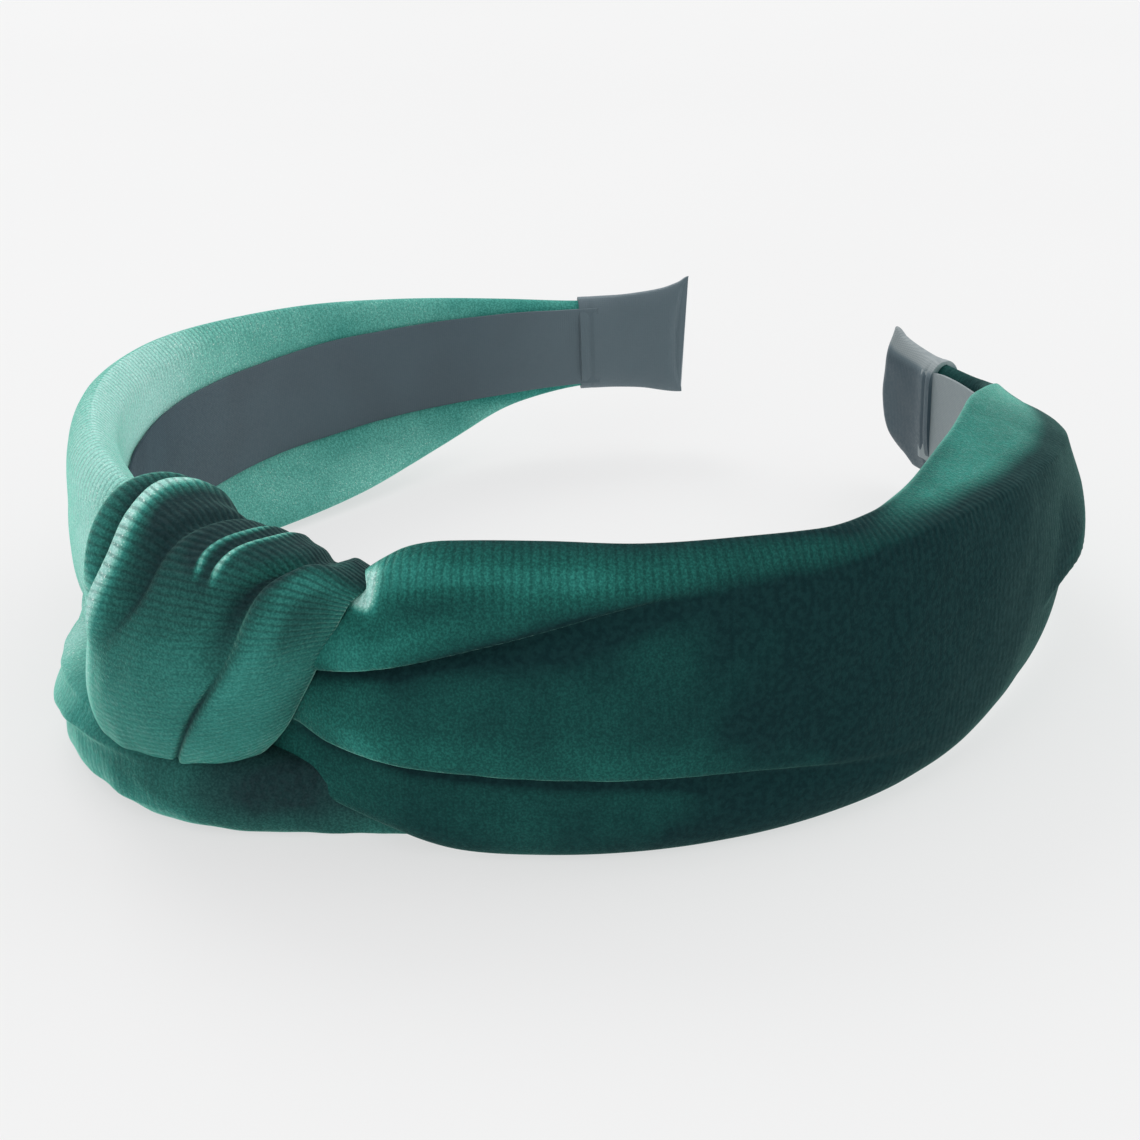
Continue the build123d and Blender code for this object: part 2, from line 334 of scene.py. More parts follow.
# The velvet is stretched along a chord where the hoop curves most, so one long edge of each arm cuts the
# corner: how far it is drawn in along the arm, and whether it is the upper (1) or the lower (-1) edge.
CHORD = {"right": [(72, 0), (82, 2.2), (92, 5.4), (102, 7.8), (112, 9.2), (122, 9.8), (132, 9.9), (142, 9.2),
                   (152, 6.8), (162, 3.6), (170, 1.4), (178, 0)],
         "left": [(70, 0), (90, 3.5), (112, 8.0), (126, 8.6), (140, 6.5), (152, 3.6), (166, 0)]}
CHORD_EDGE = {"right": 1, "left": -1}


# The core's edges are read from its points within this distance of each station along the hoop.
STATION_REACH = 2.0
# How far beyond the core the velvet starts to be drawn in on the front, and to turn out on the head side.
PULL_MARGIN = 0.6
ROLL_MARGIN = 0.3


def core_edges(side, s):
    """Heights of the core strip's upper and lower edge on one side, at distances along the hoop."""
    points = np.concatenate([node_points("core_crown"), node_points("core_" + side)])
    distance = along(points)
    stations = np.unique(np.round(distance))
    rows = [points[np.abs(distance - station) < STATION_REACH, 2] for station in stations]
    return (np.interp(s, stations, [heights.max() for heights in rows]),
            np.interp(s, stations, [heights.min() for heights in rows]))


def pull_in(s, z, edge, front, side):
    """How far the stretched edge draws the fabric towards the head: not at all over the core and the lining,
    and fully at the edge."""
    level = z * CHORD_EDGE[side]
    upper, lower = core_edges(side, s)
    clear = (upper if CHORD_EDGE[side] > 0 else -lower) + PULL_MARGIN
    lining_edge = through(s, LINING_EDGES[side][0 if CHORD_EDGE[side] > 0 else 1])
    head_share = step(level, np.minimum(lining_edge + 0.5, edge - 2.0), edge - 0.4)
    front_share = step(level, np.minimum(clear, edge - 1.5), edge + 0.2)
    return through(s, CHORD[side]) * np.where(front, front_share, head_share)


def ring(top, bottom, crown, back, seams, front_count, edge_count):
    """Open rows round the band, from the upper seam over the top edge, down the front and up to the lower
    seam. Returns each point's offset and height, whether it is on the front, and how full the front is there
    (0 at the edges and on the head side)."""
    middle, half = (top - bottom) / 2, (top + bottom) / 2
    rise = np.linspace(0, 1, edge_count, endpoint=False)
    turn = np.linspace(math.pi / 2, -math.pi / 2, front_count)
    start, finish = (np.arcsin(np.clip((seam - middle) / half, -1, 1)) for seam in seams)
    up = np.sin(start[:, None] + (math.pi / 2 - start)[:, None] * rise)
    down = np.sin(finish[:, None] - (math.pi / 2 + finish)[:, None] * rise)[:, ::-1]
    front = np.broadcast_to(np.sin(turn), (len(middle), front_count))
    level = np.concatenate([up, front, down], 1)
    is_front = np.zeros(level.shape, bool)
    is_front[:, edge_count:edge_count + front_count] = True
    fullness = np.clip(1 - np.abs(level) ** 2.6, 0, 1) ** 0.6
    head_side = back * np.clip(1 - np.abs(level) ** 9, 0, 1) ** 0.5
    offset = np.where(is_front, crown[:, None] * fullness, head_side)
    return offset, middle[:, None] + half[:, None] * level, is_front, fullness * is_front


# How far the padding and gathers push the lower edge of the band out from the core's middle.
LOWER_ROLL = {"right": [(0, 3.0), (10, 3.4), (22, 2.8), (34, 2.4), (84, 1.8), (118, 0)],
              "left": [(0, 3.0), (16, 6.0), (28, 7.4), (46, 6.8), (62, 4.2), (80, 1.6), (118, 0)]}


def edge_roll(s, z, half, front, side):
    """How far the band's long edges sit out from the core's middle, because padding fills them. On the head
    side the velvet lies on the core, and only turns outwards beyond the core's edges."""
    upper = 1.4 * hump(s, 8, 30, 84, 118)
    lower = through(s, LOWER_ROLL[side])
    core_upper, core_lower = core_edges(side, s)
    core_reach = np.where(z > 0, core_upper, -core_lower) + ROLL_MARGIN
    start = np.where(front, 0.42 * half, np.minimum(core_reach, half - 1.5))
    return np.where(z > 0, upper, lower) * step(np.abs(z), start, half)


# Painted light and shade on the pile, beyond what its direction alone gives: along each arm, on the
# stretched edge, and on the head side above the lining.
ARM_PAINTED_LIGHT = {"right": [(0, -0.40), (20, -0.38), (40, -0.13), (60, 0.06), (90, 0.24), (130, 0.46), (192, 0.6)],
       "left": [(0, -0.2), (20, 0.15), (30, 0.56), (42, 0.50), (60, 0.26), (90, 0.24), (120, 0.26),
                (150, 0.38), (175, 0.58), (192, 0.60)]}
PULLED_PAINTED_LIGHT = {"right": 0.82, "left": 0.06}
HEAD_PAINTED_LIGHT = {"right": 0.0, "left": 0.4}
# How many times its thickness the velvet's inside lies below its front, and how far a long edge slips towards
# the band's middle for each millimetre that it is drawn in.
CROWN_INSET = 1.4
PULL_SLIP = 0.12


def velvet_skin(side, s, edges, relief_at, depth, front_count, edge_count):
    """Rows of one face of the velvet, at a depth below its outside. Returns each point's offset and height,
    how much light or shade is painted on its pile, and how far the stretch has smoothed it."""
    top, bottom = edges(s)
    seams = sum(core_edges(side, s)) / 2 + SEAM_HALF * np.array([[1], [-1]])
    crown = crown_height(s, side) - CROWN_INSET * depth
    offset, z, front, fullness = ring(top - depth, bottom - depth, crown, HEAD_SIDE + depth, seams,
                                      front_count, edge_count)
    spread = np.broadcast_to(s[:, None], z.shape)
    half = np.where(z > 0, top[:, None], bottom[:, None])
    offset = offset + edge_roll(spread, z, half, front, side)
    out, carry, lie = relief_at(spread, z)
    share = np.clip(fullness * 1.8, 0, 1)
    if depth == 0:
        out = out + 0.16 * ripple(spread, z, 5 + SIDES[side], 19.0) + 0.05 * ripple(spread, z, 9, 5.5)
    else:
        out, carry = np.minimum(out - 0.3, 0), 0.0
    offset, z = offset + share * out, z + share * carry
    edge = (top if CHORD_EDGE[side] > 0 else bottom)[:, None]
    pulled = pull_in(spread, z, edge - depth, front, side)
    offset, z = offset - pulled, z - PULL_SLIP * CHORD_EDGE[side] * pulled
    smoothed = step(pulled, 0.2, 5.0)
    # Painted light along the arm, in the folds, on the stretched edge and on the head side above the lining.
    head_painted_light = HEAD_PAINTED_LIGHT[side] * ~front * hump(spread, 38, 52, 74, 104) * step(z, 8, 10)
    lie = through(s, ARM_PAINTED_LIGHT[side])[:, None] + lie * share + PULLED_PAINTED_LIGHT[side] * smoothed + head_painted_light
    return np.array([offset, z, lie, smoothed])


def velvet_arm(side, edges, relief_at):
    """One half of the velvet strip, from the middle of the crown to its hem under the tip wrap."""
    s = np.linspace(0, HEM[side], int(HEM[side] / ROW_SPACING))
    outside = velvet_skin(side, s, edges, relief_at, 0.0, FRONT_SAMPLES, EDGE_SAMPLES)
    inside = velvet_skin(side, s, edges, relief_at, VELVET_THICKNESS, INSIDE_SAMPLES, EDGE_SAMPLES // 2)
    offset, z, lie, smoothed = np.concatenate([outside, inside[:, :, ::-1]], 2)
    spread = np.broadcast_to(s[:, None], z.shape)
    signed = SIDES[side] * spread
    ribbed = (0.14 + 0.5 * step(z, 13, 18) * hump(spread, 8, 20, 90, 150)) * (1 - smoothed)
    return grid_piece("velvet_" + side, place(signed, offset, z), rib=signed, lie=lie, ribbed=ribbed,
                      haze=0.0)


FOAM_SAMPLES = 64
# The foam ends this far before the tip wrap's mouth. Its edges stay inside those of the core and the velvet,
# and its front below the velvet's.
FOAM_END_GAP = 6
FOAM_CORE_MARGIN = 1.5
FOAM_EDGE_MARGIN = 3.0
FOAM_FRONT_MARGIN = 2.8


def foam_pad(side, edges, relief_at):
    """Half of the foam padding, between the core and the velvet."""
    s = np.linspace(0, MOUTH[side] - FOAM_END_GAP, 150)
    core_upper, core_lower = core_edges(side, s)
    top, bottom = edges(s)
    upper = np.minimum(core_upper - FOAM_CORE_MARGIN, top - FOAM_EDGE_MARGIN)[:, None]
    lower = np.maximum(core_lower + FOAM_CORE_MARGIN, FOAM_EDGE_MARGIN - bottom)[:, None]
    half, middle = (upper - lower) / 2, (upper + lower) / 2
    turn = np.linspace(0, 2 * math.pi, FOAM_SAMPLES, endpoint=False)[None, :]
    z = middle + half * np.sign(np.sin(turn)) * np.abs(np.sin(turn)) ** 0.6
    spread = np.broadcast_to(s[:, None], z.shape)
    hollow = np.minimum(relief_at(spread, z)[OUT] - 0.3, 0)
    room = crown_height(s, side)[:, None] - FOAM_FRONT_MARGIN + hollow
    bulge = np.clip(room, 0.3, 3.2) * np.clip(1 - ((z - middle) / half) ** 4, 0, 1) ** 0.5
    o = FOAM_BASE + np.where(np.cos(turn) > 0, bulge, 0) * np.abs(np.cos(turn)) ** 0.3
    signed = SIDES[side] * spread
    return grid_piece("foam_pad_" + side, place(signed, o, z), rib=signed)


# ---------------------------------------------------------------- knot
# Rows along the wrap, and points of each row across its front and its back.
KNOT_ROWS = 190
KNOT_FRONT = 170
KNOT_BACK = 24
# The two long edges of the band that is wrapped over the knot: how far along (0 foot, 1 tuck), s, o, z.
KNOT_LEFT = [(0, -16.0, 4.0, -9.5), (0.08, -20.5, 6.0, -13.0), (0.18, -23.0, 7.0, -10.5),
             (0.30, -21.6, 7.2, -4.0), (0.42, -18.6, 7.4, 3.5), (0.55, -17.0, 7.4, 11.6),
             (0.67, -17.8, 6.2, 17.4), (0.77, -18.6, 3.8, 20.4), (0.85, -17.8, 0.0, 20.4),
             (0.92, -15.0, -3.0, 17.0), (1, -10.0, -3.2, 10.0)]
KNOT_RIGHT = [(0, -2.0, 3.5, -8.0), (0.08, 1.5, 4.5, -10.0), (0.18, 6.2, 5.0, -5.5),
              (0.30, 9.8, 5.2, 0.5), (0.42, 12.6, 5.2, 5.8), (0.55, 15.2, 5.2, 11.0),
              (0.67, 17.2, 5.0, 14.6), (0.77, 18.6, 3.6, 16.0), (0.85, 18.4, 0.0, 16.0),
              (0.92, 16.4, -2.6, 15.2), (1, 13.0, -3.0, 9.8)]
# Along the wrap: which way its face looks (0 away from the head, 90 up), how far its middle stands out from
# its edges, and how far its back bulges the other way.
KNOT_FACING = [(0, -80), (0.08, -50), (0.18, -22), (0.30, -6), (0.42, 2), (0.55, 14), (0.67, 36),
               (0.77, 68), (0.85, 105), (0.92, 150), (1, 180)]
KNOT_BULGE = [(0, 0.6), (0.08, 3.6), (0.18, 6.6), (0.30, 8.8), (0.42, 9.6), (0.55, 8.8), (0.67, 6.4),
              (0.77, 3.6), (0.85, 1.9), (0.92, 1.0), (1, 0.6)]
KNOT_UNDERSIDE = [(0, 0.8), (0.55, 0.8), (0.67, 3.2), (0.77, 5.2), (0.85, 5.2), (0.92, 3.0), (1, 0.8)]
# Half the wrap's width, which turns shares across it into millimetres, and how much painted grey sheen the
# knot's pile gets.
KNOT_HALF_WIDTH = 17.0
KNOT_PAINTED_SHEEN = 0.6


def rail(b, rows):
    """The three hoop coordinates of one edge of the wrap, at shares b of its length."""
    return [through(b, [(row[0], row[k]) for row in rows]) for k in (1, 2, 3)]


def knot_relief(a, b):
    """Folds that run up the wrap: two cords on the left, a broad lobe, two short pleats near the top, and a
    right lobe that laps over the rest. Across the wrap, a is -1 at its left edge and 1 at its right edge."""
    high = step(b, 0.46, 0.64)
    lap = through(b, [(0.1, 0.20), (0.25, 0.36), (0.36, 0.47), (0.49, 0.57), (0.64, 0.62), (0.72, 0.72),
                      (0.8, 0.80)])
    first = through(b, [(0.35, -0.70), (0.45, -0.62), (0.52, -0.54), (0.62, -0.45), (0.7, -0.48),
                        (0.8, -0.56)])
    groove = through(b, [(0.45, -0.40), (0.56, -0.24), (0.66, -0.19), (0.74, -0.15), (0.82, -0.13)])
    third = through(b, [(0.55, 0.12), (0.66, 0.13), (0.7, 0.15), (0.8, 0.20)])
    fourth = through(b, [(0.55, 0.28), (0.64, 0.27), (0.7, 0.29), (0.8, 0.36)])
    valley = lap - 0.13
    lap_height = 0.6 * step(b, 0.1, 0.24) + 1.5 * hump(b, 0.34, 0.6, 0.72, 0.80)
    relief = fold(KNOT_HALF_WIDTH * (a - lap), 3.8, lap_height)
    # The lap fold's painted highlight and shade are kept weak.
    relief[LIGHT] *= 0.4
    relief += fold(KNOT_HALF_WIDTH * (a - first), 2.1, 2.4 * step(b, 0.40, 0.56))
    for crease, start in ((third, 0.62), (fourth, 0.59)):
        relief += fold(KNOT_HALF_WIDTH * (a - crease), 1.1, 1.2 * step(b, start, start + 0.08))
    cut = step(b, 0.42, 0.60)
    broad_lobe = 0.9 * hump(b, 0.05, 0.2, 0.45, 0.65) * ridge(a + 0.2, 0.4)
    outer_cord = 1.6 * high * ridge(a + 0.74, 0.15)
    relief[OUT] += broad_lobe + outer_cord
    slit = hump(b, 0.08, 0.16, 0.34, 0.5) * ridge(KNOT_HALF_WIDTH * (a - lap) + 0.4, 0.55)
    relief[OUT] -= 0.55 * slit
    # Painted shade in the slit, just right of the lap, in the groove, in the valley and right of the first cord;
    # painted highlights along the first cord's rim and left of it, along the two short pleats' rims, down the
    # wrap's left edge and on its upper right.
    shaded = 0.30 * step(a - lap, 0.08, 0.22) * hump(b, 0.40, 0.58, 0.64, 0.74)
    relief[LIGHT] -= 0.55 * slit + shaded
    relief[OUT] -= 1.3 * cut * ridge(a - groove, 0.07) + 1.3 * high * ridge(a - valley, 0.08)
    relief[LIGHT] -= 0.20 * cut * ridge(a - groove, 0.09) + 0.25 * high * ridge(a - valley, 0.10)
    relief[LIGHT] += 2.7 * hump(b, 0.40, 0.55, 0.80, 0.90) * ridge(a - first - 0.03, 0.045)
    relief[LIGHT] += 0.5 * hump(b, 0.40, 0.55, 0.86, 0.95) * step(first - a, 0.03, 0.12)
    relief[LIGHT] -= 0.10 * cut * ridge(a - first - 0.20, 0.09)
    rims = ridge(a - third - 0.03, 0.025) + ridge(a - fourth - 0.03, 0.025)
    relief[LIGHT] += 1.4 * hump(b, 0.61, 0.67, 0.80, 0.88) * rims
    relief[LIGHT] += 1.4 * hump(b, 0.04, 0.12, 0.45, 0.6) * step(-a, 0.50, 0.78)
    relief[LIGHT] += 0.40 * hump(b, 0.60, 0.72, 0.88, 0.95) * step(a, 0.35, 0.7)
    return relief


def knot_front():
    """Velvet band over the knot's front: it leans to the right, and tucks in over the hoop's top edge."""
    b = np.linspace(0, 1, KNOT_ROWS)[:, None]
    turn = np.linspace(-1, 1, KNOT_FRONT)
    a_front = 0.45 * np.sin(turn * math.pi / 2) + 0.55 * turn
    a = np.concatenate([a_front, np.linspace(1, -1, KNOT_BACK + 2)[1:-1]])[None, :]
    is_front = np.arange(a.shape[1])[None, :] < KNOT_FRONT
    left_fullness = np.clip(1 - np.abs(a) ** 4, 0, 1) ** 0.5
    right_fullness = np.clip(1 - np.abs(a) ** 2.4, 0, 1) ** 0.75
    fullness = np.where(a < 0, left_fullness, right_fullness)
    left, right = rail(b, KNOT_LEFT), rail(b, KNOT_RIGHT)
    out, carry, lie = knot_relief(a, b)
    share = np.clip(fullness * 1.7, 0, 1) * hump(b, 0.0, 0.1, 0.88, 0.96) * is_front
    back_height = -through(b, KNOT_UNDERSIDE) * fullness ** 0.4
    height = np.where(is_front, through(b, KNOT_BULGE) * fullness, back_height)
    facing = np.radians(through(b, KNOT_FACING))
    share_right = (a + 1) / 2
    s, o, z = (first + (second - first) * share_right for first, second in zip(left, right))
    points = np.stack([s, o + np.cos(facing) * height, z + np.sin(facing) * height], -1)
    grain = 0.12 * ripple(24 * a, 60 * b, 31, 9.0)
    points = swell(points, (out + grain) * share, carry * share)
    middle_line = points[:, KNOT_FRONT // 2]
    steps = np.diff(middle_line, axis=0, prepend=middle_line[:1])
    travel = np.cumsum(np.linalg.norm(steps, axis=1))[:, None]
    # Painted light along the wrap: darker low down, lightest near the top where it turns in, darker again at the
    # tuck.
    base_lie = through(b, [(0, -0.38), (0.2, -0.30), (0.35, -0.30), (0.5, -0.20), (0.65, 0.06), (0.8, 0.36),
                           (0.88, 0.1), (1, -0.2)])
    ribbed = 0.2 + 0.8 * step(b, 0.42, 0.66)
    return grid_piece("knot_front", place(*np.moveaxis(points, -1, 0)), rib=travel,
                      lie=base_lie + lie * share, ribbed=ribbed, haze=KNOT_PAINTED_SHEEN)


# Offset of the roll's outer side along the hoop. Its inner side goes at most this far past the core's middle,
# so that it doesn't show on the head side.
LOOP_OUTER = [(-56, 4.4), (-48, 7.2), (-40, 10.2), (-33, 12.7), (-24.5, 14.2), (-17, 14.6), (-10, 14.4),
              (-5.5, 13.4), (-0.6, 11.4), (4.8, 8.2), (10.7, 4.6), (16, 2.4), (26, 0.6)]
LOOP_INNER = 1.0
LOOP_ROWS = 170
LOOP_SAMPLES = 130
# Below this height the roll is pressed nearly flat, as by the table the band rests on.
LOOP_FLOOR = -20.0
LOOP_GIVE = 0.05


def knot_loop():
    """Velvet roll that passes below the knot's front, from the left arm to under the right arm's edge."""
    s = np.linspace(LOOP_OUTER[0][0], LOOP_OUTER[-1][0], LOOP_ROWS)[:, None]
    outer = through(s, LOOP_OUTER)
    depth = through(s, [(-56, 3.0), (-44, 6.0), (-20, 7.2), (-4, 6.6), (6, 5.0), (16, 3.0), (26, 1.0)])
    depth = np.minimum(depth, (outer + LOOP_INNER) / 2)
    middle = through(s, [(-56, -13.5), (-38, -13.8), (-24, -13.7), (-8, -14.2), (6, -14.8), (26, -15.8)])
    height = through(s, [(-56, 4.0), (-44, 6.6), (-24, 6.8), (-8, 6.3), (6, 5.6), (16, 4.8), (26, 3.4)])
    turn = np.linspace(0, 2 * math.pi, LOOP_SAMPLES, endpoint=False)[None, :]
    out = np.zeros(np.broadcast(s, turn).shape)
    for phase, drift, size in ((0.75, 0.012, 0.6), (0.2, 0.02, 1.3), (-0.6, 0.008, 0.6)):
        line = phase + drift * (s + 20)
        from_crease = 8 * np.angle(np.exp(1j * (turn - line)))
        out = out + fold(from_crease, 2.0, size * hump(s, -50, -38, -28, 0))[OUT]
    out = out + 0.18 * ripple(s, 6 * turn, 12, 8.0)
    across, up = (np.sign(f(turn)) * np.abs(f(turn)) ** 0.75 for f in (np.cos, np.sin))
    o = outer - depth + (depth + out) * across
    z = middle + (height + 0.6 * out) * up
    z = np.where(z < LOOP_FLOOR, LOOP_FLOOR + LOOP_GIVE * (z - LOOP_FLOOR), z)
    # Painted light at the roll's left end and on its underside; darker under the wrap, towards the right.
    lie = through(s, [(-56, 0.40), (-46, 0.52), (-38, 0.46), (-33, 0.2), (-27, -0.15), (-15, -0.38),
                      (26, -0.36)])
    lie = lie + 0.32 * step(-up, -0.2, 0.8)
    return grid_piece("knot_loop", place(s, o, z), rib=s, lie=lie, ribbed=0.2, haze=KNOT_PAINTED_SHEEN)


# ---------------------------------------------------------------- lining and tip wraps
# Height of the lining's upper edge and depth of its lower edge along each arm.
LINING_EDGES = {"right": ([(0, 8.2), (140, 8.2), (158, 7.2), (172, 5.2), (186, 4.7), (192, 4.0)],
                          [(0, 8.2), (142, 8.2), (165, 10.8), (182, 12.6), (192, 12.2)]),
                "left": ([(0, 8.2), (40, 8.4), (80, 9.6), (120, 8.8), (150, 8.0), (176, 7.4)],
                         [(0, 8.2), (150, 8.2), (176, 7.4)])}
# Outline of each tip wrap: height of its upper edge and depth of its lower edge against the share of its
# length, and how far its end runs past the tip at a level from -1 (lower corner) to 1 (upper corner).
TIP_UPPER = {"right": [(0, 5.9), (0.3, 5.7), (0.6, 6.2), (0.85, 7.2), (1, 8.5)],
             "left": [(0, 8.9), (0.2, 8.9), (0.5, 9.2), (0.75, 10.1), (0.9, 11.3), (1, 12.5)]}
TIP_LOWER = {"right": [(0, 14.7), (0.3, 15.6), (0.6, 15.6), (1, 14.6)],
             "left": [(0, 8.9), (0.3, 9.0), (0.6, 9.3), (1, 10.2)]}
TIP_END = {"right": [(-1, -5.0), (-0.9, -2.4), (-0.7, 0.4), (-0.3, 1.9), (0.1, 1.6), (0.5, 1.0), (1, 0.2)],
           "left": [(-1, -0.6), (-0.6, -1.3), (0, -1.4), (0.5, -0.9), (0.85, 0.0), (1, 0.9)]}
# How much paler the ribbon is made: a painted satin highlight at the end of each arm's lining, paler on each
# tip wrap, and a painted satin highlight near a tip wrap's upper edge.
LINING_END_HIGHLIGHT = {"right": 1.0, "left": 0.45}
TIP_PALENESS = {"right": 0.4, "left": 1.05}
TIP_TOP_HIGHLIGHT = {"right": 1.2, "left": 0.0}
# How far a tip wrap's outside and its head side are from the core's middle, against the share of its length.
TIP_OUTSIDE = [(0, 2.6), (0.14, 2.5), (0.4, 2.1), (0.9, 1.9), (0.97, 1.5), (1, 0.9)]
TIP_HEAD_SIDE = [(0, 3.4), (0.14, 3.3), (0.4, 2.5), (0.9, 2.1), (0.97, 1.6), (1, 0.9)]


def flat_ring(samples, squareness, thinness):
    """Level (-1 to 1) and depth (-1 head side to 1 outside) round a flattened ring."""
    turn = np.linspace(0, 2 * math.pi, samples, endpoint=False)[None, :]
    return (np.sign(np.sin(turn)) * np.abs(np.sin(turn)) ** squareness,
            np.sign(np.cos(turn)) * np.abs(np.cos(turn)) ** thinness)


# The lining ends this far short of the velvet's hem.
HEM_GAP = 0.5


def ribbon(side):
    """Half of the lining ribbon, from the middle of the crown to under the tip wrap."""
    s = np.linspace(0, HEM[side] - HEM_GAP, 300)[:, None]
    level, depth = flat_ring(84, 0.55, 0.3)
    upper, lower = (through(s, rows) for rows in LINING_EDGES[side])
    z = level * np.where(level > 0, upper, lower) + 0.14 * level ** 3 * ripple(s, 0, 3 + SIDES[side], 26.0)
    sag = np.clip(0.10 * ripple(s, z, 17, 14.0), 0, 0.3)
    o = (LINING_OUTER + LINING_INNER) / 2 + depth * (LINING_OUTER - LINING_INNER) / 2 - sag
    signed = SIDES[side] * s
    # Painted shade near the knot, paler from 50 mm on, and the painted satin highlight towards the lining's end.
    fade = 0.55 * step(s, 50, 115) + LINING_END_HIGHLIGHT[side] * step(s, 150, 180)
    return grid_piece("lining_ribbon_" + side, place(signed, o, z), rib=signed, across=z, fade=fade)


def tip_cover(side):
    """Ribbon folded round the tip, with a seam at its mouth and a flared end."""
    start, tip = MOUTH[side], TIP[side]
    t = np.linspace(0, 1, 110)[:, None]
    level, depth = flat_ring(150, 0.6, 0.5)
    z = level * np.where(level > 0, through(t, TIP_UPPER[side]), through(t, TIP_LOWER[side]))
    thickness = np.where(depth > 0, through(t, TIP_OUTSIDE), through(t, TIP_HEAD_SIDE))
    o = thickness * depth * (1 - 0.4 * np.abs(level) ** 5)
    s = start + (tip - start) * t + through(level, TIP_END[side]) * step(t, 0.45, 1)
    seam = 0.10 * ridge(s - start - 2.0, 0.5)
    creases = 0.10 * ripple(s, z, 41 + SIDES[side], 7.0) * step(t, 0.05, 0.2)
    o = o * (1 - seam) + creases
    signed = SIDES[side] * s
    # Paler on the tip wrap, with the painted satin highlight along its upper edge.
    fade = TIP_PALENESS[side] + TIP_TOP_HIGHLIGHT[side] * step(level, 0.45, 0.8)
    return grid_piece("tip_cover_" + side, place(signed, o, z), rib=signed, across=z, fade=fade)


# ---------------------------------------------------------------- materials
class Nodes:
    """Short calls for building a material's node tree."""

    def __init__(self, name):
        self.material = bpy.data.materials.new(name)
        self.material.use_nodes = True
        self.tree = self.material.node_tree
        self.shader = self.tree.nodes["Principled BSDF"]

    def add(self, kind, inputs=(), **settings):
        node = self.tree.nodes.new(kind)
        for key, value in settings.items():
            setattr(node, key, value)
        for key, value in dict(inputs).items():
            self.put(node.inputs[key], value)
        return node

    def put(self, socket, value):
        if isinstance(value, bpy.types.NodeSocket):
            self.tree.links.new(value, socket)
        else:
            socket.default_value = value

    def wave(self, distance, pitch):
        """Wave between 0 and 1 that repeats once a pitch."""
        turn = self.math("MULTIPLY", distance, 2 * math.pi / pitch)
        return self.math("MULTIPLY_ADD", self.math("SINE", turn), 0.5, 0.5)

    def math(self, operation, first, second=0.0, third=0.0):
        node = self.add("ShaderNodeMath", operation=operation)
        for socket, value in zip(node.inputs, (first, second, third)):
            self.put(socket, value)
        return node.outputs[0]

    def attribute(self, name):
        return self.add("ShaderNodeAttribute", attribute_name=name).outputs["Fac"]

    def noise(self, scale, detail=2.0, roughness=0.5):
        node = self.add("ShaderNodeTexNoise", {"Vector": self.position(), "Scale": scale, "Detail": detail,
                                               "Roughness": roughness})
        return node.outputs["Fac"]

    def position(self):
        return self.add("ShaderNodeTexCoord").outputs["Object"]

    def ramp(self, value, low, high, low_out=0.0, high_out=1.0, shape="SMOOTHSTEP"):
        limits = {"From Min": low, "From Max": high, "To Min": low_out, "To Max": high_out}
        node = self.add("ShaderNodeMapRange", {"Value": value, **limits}, interpolation_type=shape)
        return node.outputs["Result"]

    def mix(self, factor, first, second):
        node = self.add("ShaderNodeMix", data_type="RGBA")
        self.put(node.inputs["Factor"], factor)
        self.put(node.inputs["A"], first)
        self.put(node.inputs["B"], second)
        return [output for output in node.outputs if output.type == "RGBA"][0]

    def bump(self, height, distance, strength):
        node = self.add("ShaderNodeBump", {"Height": height, "Distance": distance, "Strength": strength})
        return node.outputs["Normal"]

    def finish(self, **inputs):
        for key, value in inputs.items():
            self.put(self.shader.inputs[key.replace("_", " ")], value)
        return self.material


def rgb(red, green, blue):
    return (red, green, blue, 1.0)


# Spacing in mm of the velvet's ribs, and of the ribbon's threads along and across it.
RIB_PITCH = 1.05
WEFT_PITCH = 0.42
WARP_PITCH = 0.30


